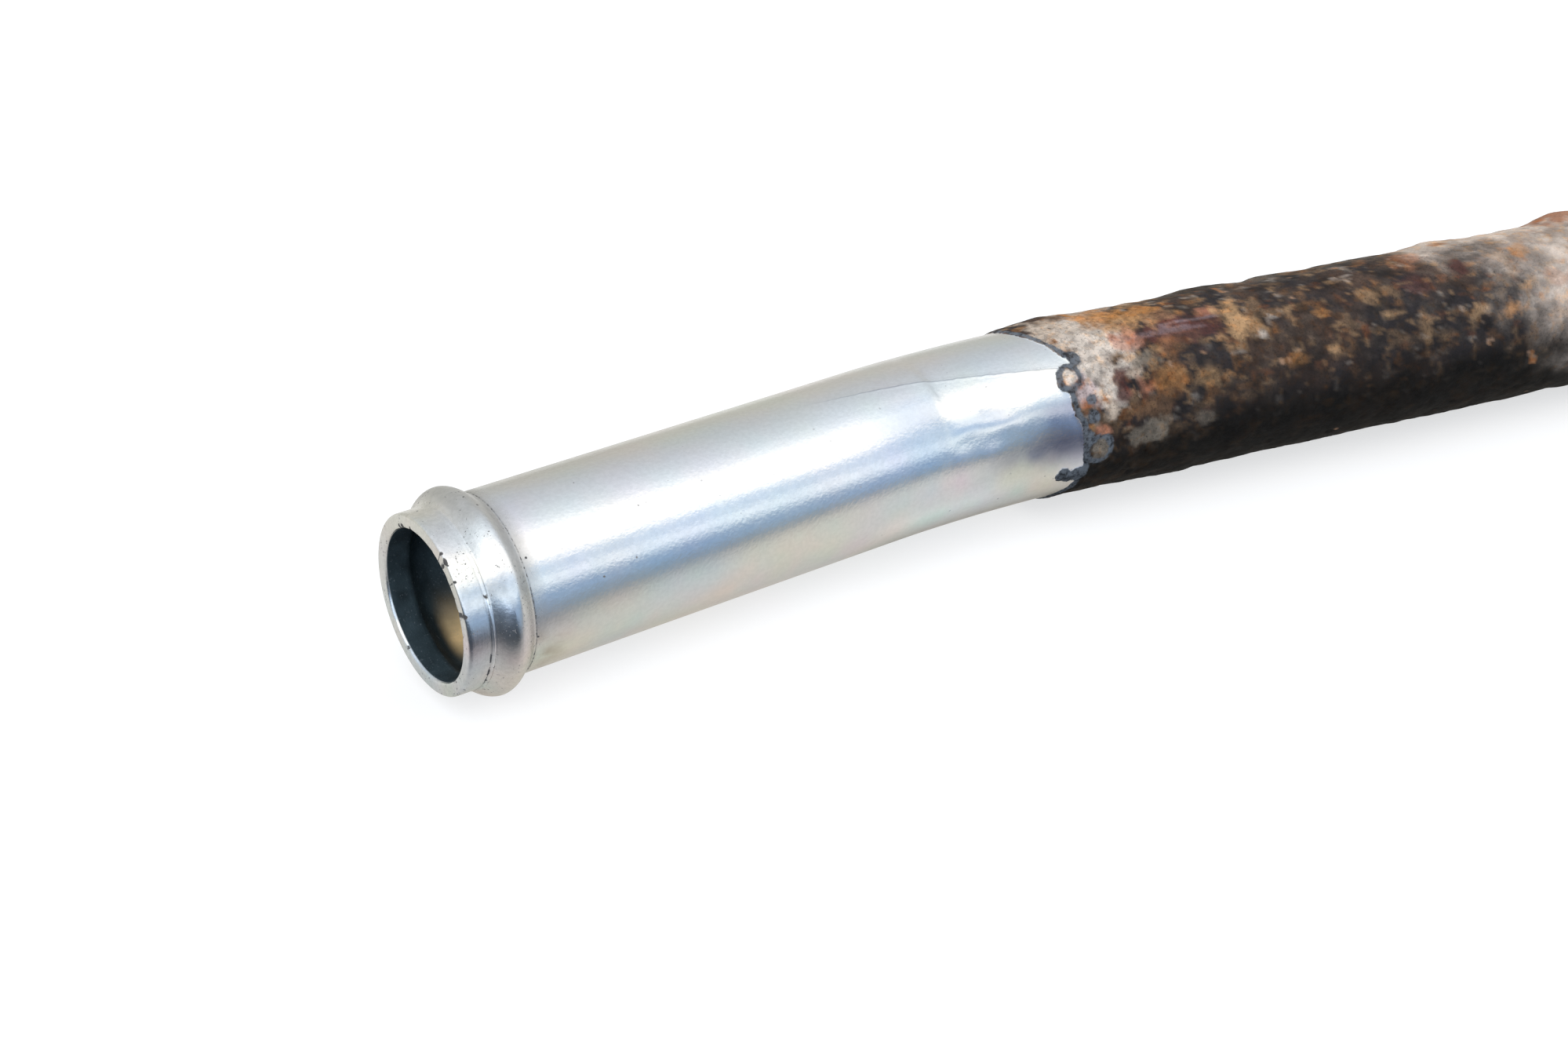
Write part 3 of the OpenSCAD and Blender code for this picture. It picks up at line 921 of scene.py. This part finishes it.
# Chips and stains on the hose end: station, angle, half length, half height, strength
STAINS = [
    (2.75, 153, 0.26, 0.3, 0.75), (3.45, 158, 0.3, 0.3, 0.4), (5.8, 169, 0.6, 0.7, 0.42),
    (2.45, 193, 0.4, 0.8, 0.4), (2.5, 206, 0.45, 0.9, 0.44), (2.5, 217, 0.5, 0.8, 0.47),
    (0.45, 219, 0.4, 0.9, 0.53), (8, 189, 0.2, 0.2, 0.75), (0.5, 84, 0.35, 0.45, 0.46),
    (0.6, 91, 0.3, 0.5, 0.46), (2.6, 69, 0.3, 0.45, 0.5), (3.2, 73, 0.2, 0.35, 0.52),
    (4.9, 109, 0.2, 0.2, 0.7), (6.7, 177, 0.3, 0.5, 0.46), (5.6, 196, 0.25, 0.4, 0.46),
    (0.05, 66, 0.3, 0.5, 0.48), (0.1, 226, 0.3, 0.6, 0.46), (0.15, 120, 0.17, 0.28, 0.95),
    (0.15, 126, 0.17, 0.5, 0.95), (0.15, 139.5, 0.17, 0.28, 0.9), (0.15, 161, 0.2, 0.34, 0.95),
    (0, 158.6, 0.1, 0.24, 0.62), (0.3, 172, 0.25, 0.3, 0.46), (4.1, 69, 0.2, 0.25, 0.56),
    (5.4, 92, 0.25, 0.3, 0.56), (6, 101, 0.18, 0.2, 0.75), (3.6, 82, 0.3, 0.3, 0.44),
]
# Distances painted on the skin are held to this, and so are places that a distance doesn't belong to
FAR_OFF = 4.0


def stain_strength(s, q, r, outside, mouth):
    """How strongly the hose end is stained: the ovals on the outside and the mouth, the seam at the bead's
    rear foot and the groove before the ridge on the front, both dirt with painted shade, and the nicks of the
    mouth."""
    ovals = sum(strength * smooth(0.2, 0.8, patch_weight(s, q, *place)) for *place, strength in STAINS)
    # Dirt and painted shade in the creases at the bead's rear foot and before the ridge
    seam = 0.6 * bell(s, REAR_FOOT + 0.05, 0.13)
    groove = 0.4 * bell(s, FRONT_FOOT - 0.42, 0.1) * window(q, 125, 160, 205, 235)
    depth = nick_depth(q)
    nicked = smooth(0.14, -0.08, r - BORE_R - 0.3 - 2.2 * depth) * smooth(0.05, 0.12, depth)
    stain = ovals * (outside | mouth) + (seam + groove) * outside + 1.4 * nicked * mouth
    return np.clip(stain, 0, 1.4)


def make_pipe():
    """The whole pipe as one closed skin, with the numbers and colours that its material reads."""
    s, q, r, part = pipe_rows()
    pipe = mesh_object("pipe_skin", skin_point(s, q, r).reshape(-1, 3), grid_faces(*s.shape))
    outside, cut, bore, mouth = (part == kind for kind in (OUTSIDE, CUT, BORE, MOUTH))

    edge = np.where(outside, zinc_edge_distance(s, q), -FAR_OFF)
    rim = np.where(outside, rim_distance(s, q, edge), FAR_OFF)
    fold = np.where(outside, fold_distance(s, q), FAR_OFF)
    for name, distance in (("edge", edge), ("rim", rim), ("fold", fold)):
        paint_numbers(pipe, name, np.clip(distance, -FAR_OFF, FAR_OFF))
    scale, dusty = scale_colour(s, q)
    paint_numbers(pipe, "bare", bore | cut)
    paint_numbers(pipe, "worn", smooth(9.0, 7.4, s) * (outside | mouth))
    paint_numbers(pipe, "film", dirt_and_shade_film(s, q) * outside)
    paint_numbers(pipe, "folded", smooth(FOLD_START, FOLD_START + 12, s) * outside)
    paint_numbers(pipe, "speckled", (0.25 + 0.75 * smooth(34, 10, s)) * (outside | mouth))
    paint_numbers(pipe, "stain", stain_strength(s, q, r, outside, mouth))
    paint_numbers(pipe, "dusty", dusty)
    paint_colour(pipe, "scale_colour", scale)
    metal = np.where(bore[..., None], bore_colour(s, q), zinc_colour(s, q))
    paint_colour(pipe, "metal_colour", np.where(cut[..., None], cut_colour(s, q, r), metal))
    pipe.data.materials.append(pipe_material())
    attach(pipe, "root")
    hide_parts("pipe")
    return pipe


# ---- floor, light and camera

# The floor lies under the lowest point of the pipe: a board of these corners. It is grey under and behind the
# pipe and blue in front of a line that crosses the Y axis here and slants by this much Y for each X.
FLOOR_Z = CAD_BOX[0][2] / MM
FLOOR_X, FLOOR_Y = (-500, 900), (-600, 600)
FLOOR_LINE_AT, FLOOR_LINE_SLANT = -25.0, -0.43
# Its tones, against the distance behind that line, up to the reach of the ramp
FLOOR_TONES = [
    (-160, (0.34, 0.48, 0.68)), (-50, (0.31, 0.42, 0.56)), (-6, (0.29, 0.35, 0.41)), (6, (0.33, 0.33, 0.33)),
    (30, (0.36, 0.36, 0.36)), (160, (0.4, 0.4, 0.4)),
]
FLOOR_REACH = 160.0
# The glow makes up this much less the tone; what the mirrored rays see by the pipe
FLOOR_WHITE, FLOOR_SHEEN = (1.03, 1.03, 1.03), (1.0, 0.94, 0.82)


def floor_material():
    """Matt board in two tones. For the camera a glow makes up what its colour lacks from white, so that the
    whole board reads white and keeps the shadow. Mirrored and transmitted rays see a little warm sheen by the
    pipe."""
    material = bpy.data.materials.new("pale_board")
    material.use_nodes = True
    n = Nodes(material.node_tree)
    place = n.add("SeparateXYZ", {0: n.add("TexCoord").outputs["Object"]}).outputs
    behind = n.times(place["X"], -FLOOR_LINE_SLANT, place["Y"])
    behind = n.math("SUBTRACT", behind, FLOOR_LINE_AT * MM)
    ramp = n.add("ValToRGB", {0: n.times(behind, 0.5 / (FLOOR_REACH * MM), 0.5)})
    set_stops(ramp, [((at / FLOOR_REACH + 1) / 2, tone) for at, tone in FLOOR_TONES])
    path = n.add("LightPath").outputs
    # The board is darkest in front of the mouth
    dark = n.times(n.span(place["X"], 26 * MM, 6 * MM), n.span(behind, 16 * MM, -4 * MM))
    tone = n.blend(n.times(dark, 0.8), ramp.outputs[0], rgba((0, 0, 0)))
    lacking = n.blend(1.0, rgba(FLOOR_WHITE), tone, "SUBTRACT")
    mirrored = n.math("MAXIMUM", path["Is Glossy Ray"], path["Is Transmission Ray"])
    warm = n.times(mirrored, n.span(behind, -4 * MM, 26 * MM, 0.0, 0.5))
    board = n.add("BsdfDiffuse", {"Color": tone})
    glow = n.add("Emission", {"Color": lacking, "Strength": path["Is Camera Ray"]})
    sheen = n.add("Emission", {"Color": rgba(FLOOR_SHEEN), "Strength": warm})
    both = n.add("AddShader", {0: board.outputs[0], 1: glow.outputs[0]})
    both = n.add("AddShader", {0: both.outputs[0], 1: sheen.outputs[0]})
    n.add("OutputMaterial", {"Surface": both.outputs[0]})
    return material


def make_floor():
    """A flat board under the pipe: one rectangle."""
    (left, right), (front, back) = FLOOR_X, FLOOR_Y
    outline = [(left, front), (right, front), (right, back), (left, back)]
    corners = np.array([(x, y, FLOOR_Z) for x, y in outline])
    board = mesh_object("floor_board", corners, np.array([[0, 1, 2, 3]]))
    board.data.materials.append(floor_material())


# Light of the studio against the angle about the X axis: 0 is behind the pipe, 90 overhead, 180 in front
STUDIO = [
    (-90, (0.76, 0.75, 0.7)), (-2, (0.76, 0.75, 0.7)), (20, (0.77, 0.77, 0.73)), (45, (0.77, 0.81, 0.86)),
    (62, (0.85, 0.91, 1.0)), (80, (1.0, 1.09, 1.2)), (95, (1.28, 1.37, 1.5)), (108, (1.85, 1.85, 1.85)),
    (139, (1.85, 1.85, 1.85)), (143, (0.98, 1.16, 1.42)), (154, (0.82, 1.0, 1.26)),
    (161, (1.35, 1.48, 1.65)), (167, (1.35, 1.48, 1.65)), (173, (0.72, 0.9, 1.14)),
    (179, (0.38, 0.53, 0.78)), (190, (0.3, 0.43, 0.62)), (202, (0.3, 0.37, 0.46)),
    (225, (0.34, 0.38, 0.42)), (255, (0.6, 0.6, 0.58)), (270, (0.76, 0.75, 0.7)),
]
# A ramp holds no light above 1, so it is filled with shares of this, and the studio is that much stronger
STUDIO_SPAN = 2.0


def make_world():
    """A studio of long strips along the X axis: its light is a ramp over the angle atan2(up, back). What the
    camera sees directly is white."""
    world = bpy.data.worlds.new("studio")
    bpy.context.scene.world = world
    world.use_nodes = True
    n = Nodes(world.node_tree)
    way = n.add("SeparateXYZ", {0: n.add("TexCoord").outputs["Generated"]}).outputs
    angle = n.math("ARCTAN2", way["Z"], way["Y"])
    share = n.math("FRACT", n.times(angle, 1 / (2 * math.pi), 0.25))
    ramp = n.add("ValToRGB", {0: share})
    set_stops(ramp, [((degrees + 90) / 360, np.array(light) / STUDIO_SPAN) for degrees, light in STUDIO])
    # The studio is a little brighter in front of the mouth
    level = n.span(way["X"], -0.6, 0.0, 1.15 * STUDIO_SPAN, STUDIO_SPAN)
    studio = n.add("Background", {"Color": ramp.outputs[0], "Strength": level})
    white = n.add("Background", {"Color": (1, 1, 1, 1), "Strength": 1.0})
    seen = n.add("LightPath").outputs["Is Camera Ray"]
    both = n.add("MixShader", {0: seen, 1: studio.outputs[0], 2: white.outputs[0]})
    n.add("OutputWorld", {"Surface": both.outputs[0]})


# The camera: the point it looks at, its distance from there, its angles in degrees, and its lens and sensor
CAMERA_AIM = (40.5, -7.0, 0.0)
CAMERA_DISTANCE = 286.4
CAMERA_AZIMUTH, CAMERA_ELEVATION = -35.06, 29.23
LENS_MM, SENSOR_MM = 60.57, 36.0


def make_camera():
    """Looks at a point of the first straight from in front of the mouth, a little above."""
    camera = bpy.data.cameras.new("camera")
    camera.lens = LENS_MM
    camera.sensor_width = SENSOR_MM
    camera.clip_start, camera.clip_end = 0.01, 10.0
    holder = bpy.data.objects.new("camera", camera)
    bpy.context.scene.collection.objects.link(holder)
    turn, rise = math.radians(CAMERA_AZIMUTH), math.radians(CAMERA_ELEVATION)
    back = Vector((math.sin(turn) * math.cos(rise), -math.cos(turn) * math.cos(rise), math.sin(rise)))
    holder.location = (Vector(CAMERA_AIM) + back * CAMERA_DISTANCE) * MM
    holder.rotation_euler = back.to_track_quat("Z", "Y").to_euler()
    bpy.context.scene.camera = holder


make_camera()
make_pipe()
make_floor()
make_world()
bpy.context.scene.view_settings.view_transform = "Standard"
